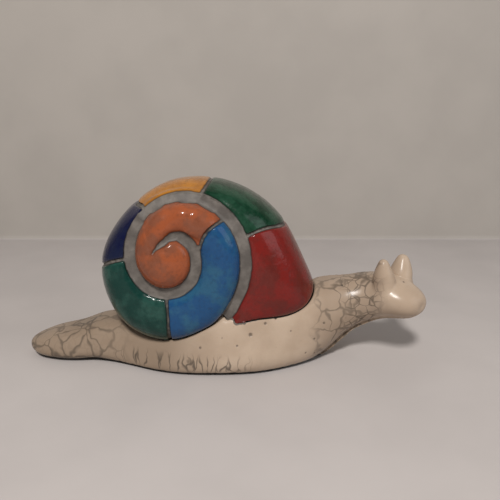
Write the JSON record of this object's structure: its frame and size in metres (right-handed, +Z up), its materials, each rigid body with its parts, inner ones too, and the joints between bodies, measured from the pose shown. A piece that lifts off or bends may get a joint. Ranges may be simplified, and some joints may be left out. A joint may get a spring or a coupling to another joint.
{
  "type": "snail figurine",
  "caption": "Ceramic snail ornament with a crackle-glazed body, blunt tentacles and a coiled shell of coloured glaze fields divided by bare clay lines",
  "frame": {"origin": "on the table under the sole, below the middle of the body's length", "axes": "+X towards the head, +Y the snail's left, +Z up"},
  "size_m": [0.1981, 0.0666, 0.09],
  "materials": {
    "cream_glaze": "glossy crackle glaze",
    "bare_clay": "matt smoked clay",
    "smoked_slip": "matt, blackened by smoke",
    "orange_glaze": "glossy",
    "blue_glaze": "glossy",
    "teal_green_glaze": "glossy",
    "navy_glaze": "glossy",
    "yellow_glaze": "glossy",
    "forest_green_glaze": "glossy",
    "red_glaze": "glossy"
  },
  "bodies": {
    "root": {"body": "cream_glaze", "near_tentacle": "cream_glaze", "far_tentacle": "cream_glaze", "shell_coil": "bare_clay", "shell_seam": "bare_clay", "shell_bud": "bare_clay", "rear_slip_joint": "smoked_slip", "front_slip_joint": "smoked_slip", "near_bud_glaze": "orange_glaze", "far_bud_glaze": "orange_glaze", "near_orange_glaze": "orange_glaze", "far_orange_glaze": "orange_glaze", "near_blue_glaze": "blue_glaze", "far_blue_glaze": "blue_glaze", "lower_green_glaze": "teal_green_glaze", "navy_glaze": "navy_glaze", "yellow_glaze": "yellow_glaze", "upper_green_glaze": "forest_green_glaze", "red_glaze": "red_glaze"}
  },
  "joints": []
}
